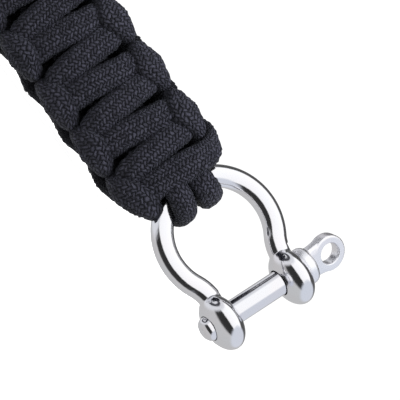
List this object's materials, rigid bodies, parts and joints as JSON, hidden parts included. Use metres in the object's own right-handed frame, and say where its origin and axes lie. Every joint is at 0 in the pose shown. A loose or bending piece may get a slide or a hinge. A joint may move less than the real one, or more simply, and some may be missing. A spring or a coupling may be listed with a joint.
{
  "type": "paracord bracelet",
  "caption": "Black cobra-woven paracord bracelet with a steel bow shackle and screw pin, standing on its edge as an open loop.",
  "frame": {"origin": "middle of the bounding box, on the surface that the bracelet's lower edge stands on", "axes": "+X from the far bend to the shackle, -Y out of the front run's outer face, +Z along the band's width, which is the axis of the loop"},
  "size_m": [0.1255, 0.0621, 0.0299],
  "materials": {
    "paracord": "matt braided nylon",
    "shackle_steel": "bright zinc plate",
    "pin_steel": "bright zinc plate, duller on the eye"
  },
  "bodies": {
    "bracelet": {"weave": "paracord", "crown_loop_lower": "paracord", "crown_loop_upper": "paracord", "end_loop_lower": "paracord", "end_loop_upper": "paracord", "shackle": "shackle_steel"},
    "pin": {"pin": "pin_steel"}
  },
  "joints": [
    {"name": "pin_slide", "type": "slide", "parent": "bracelet", "child": "pin", "axis": [0.0722, 0.3907, 0.9177], "range_m": [0, 0.02]}
  ]
}
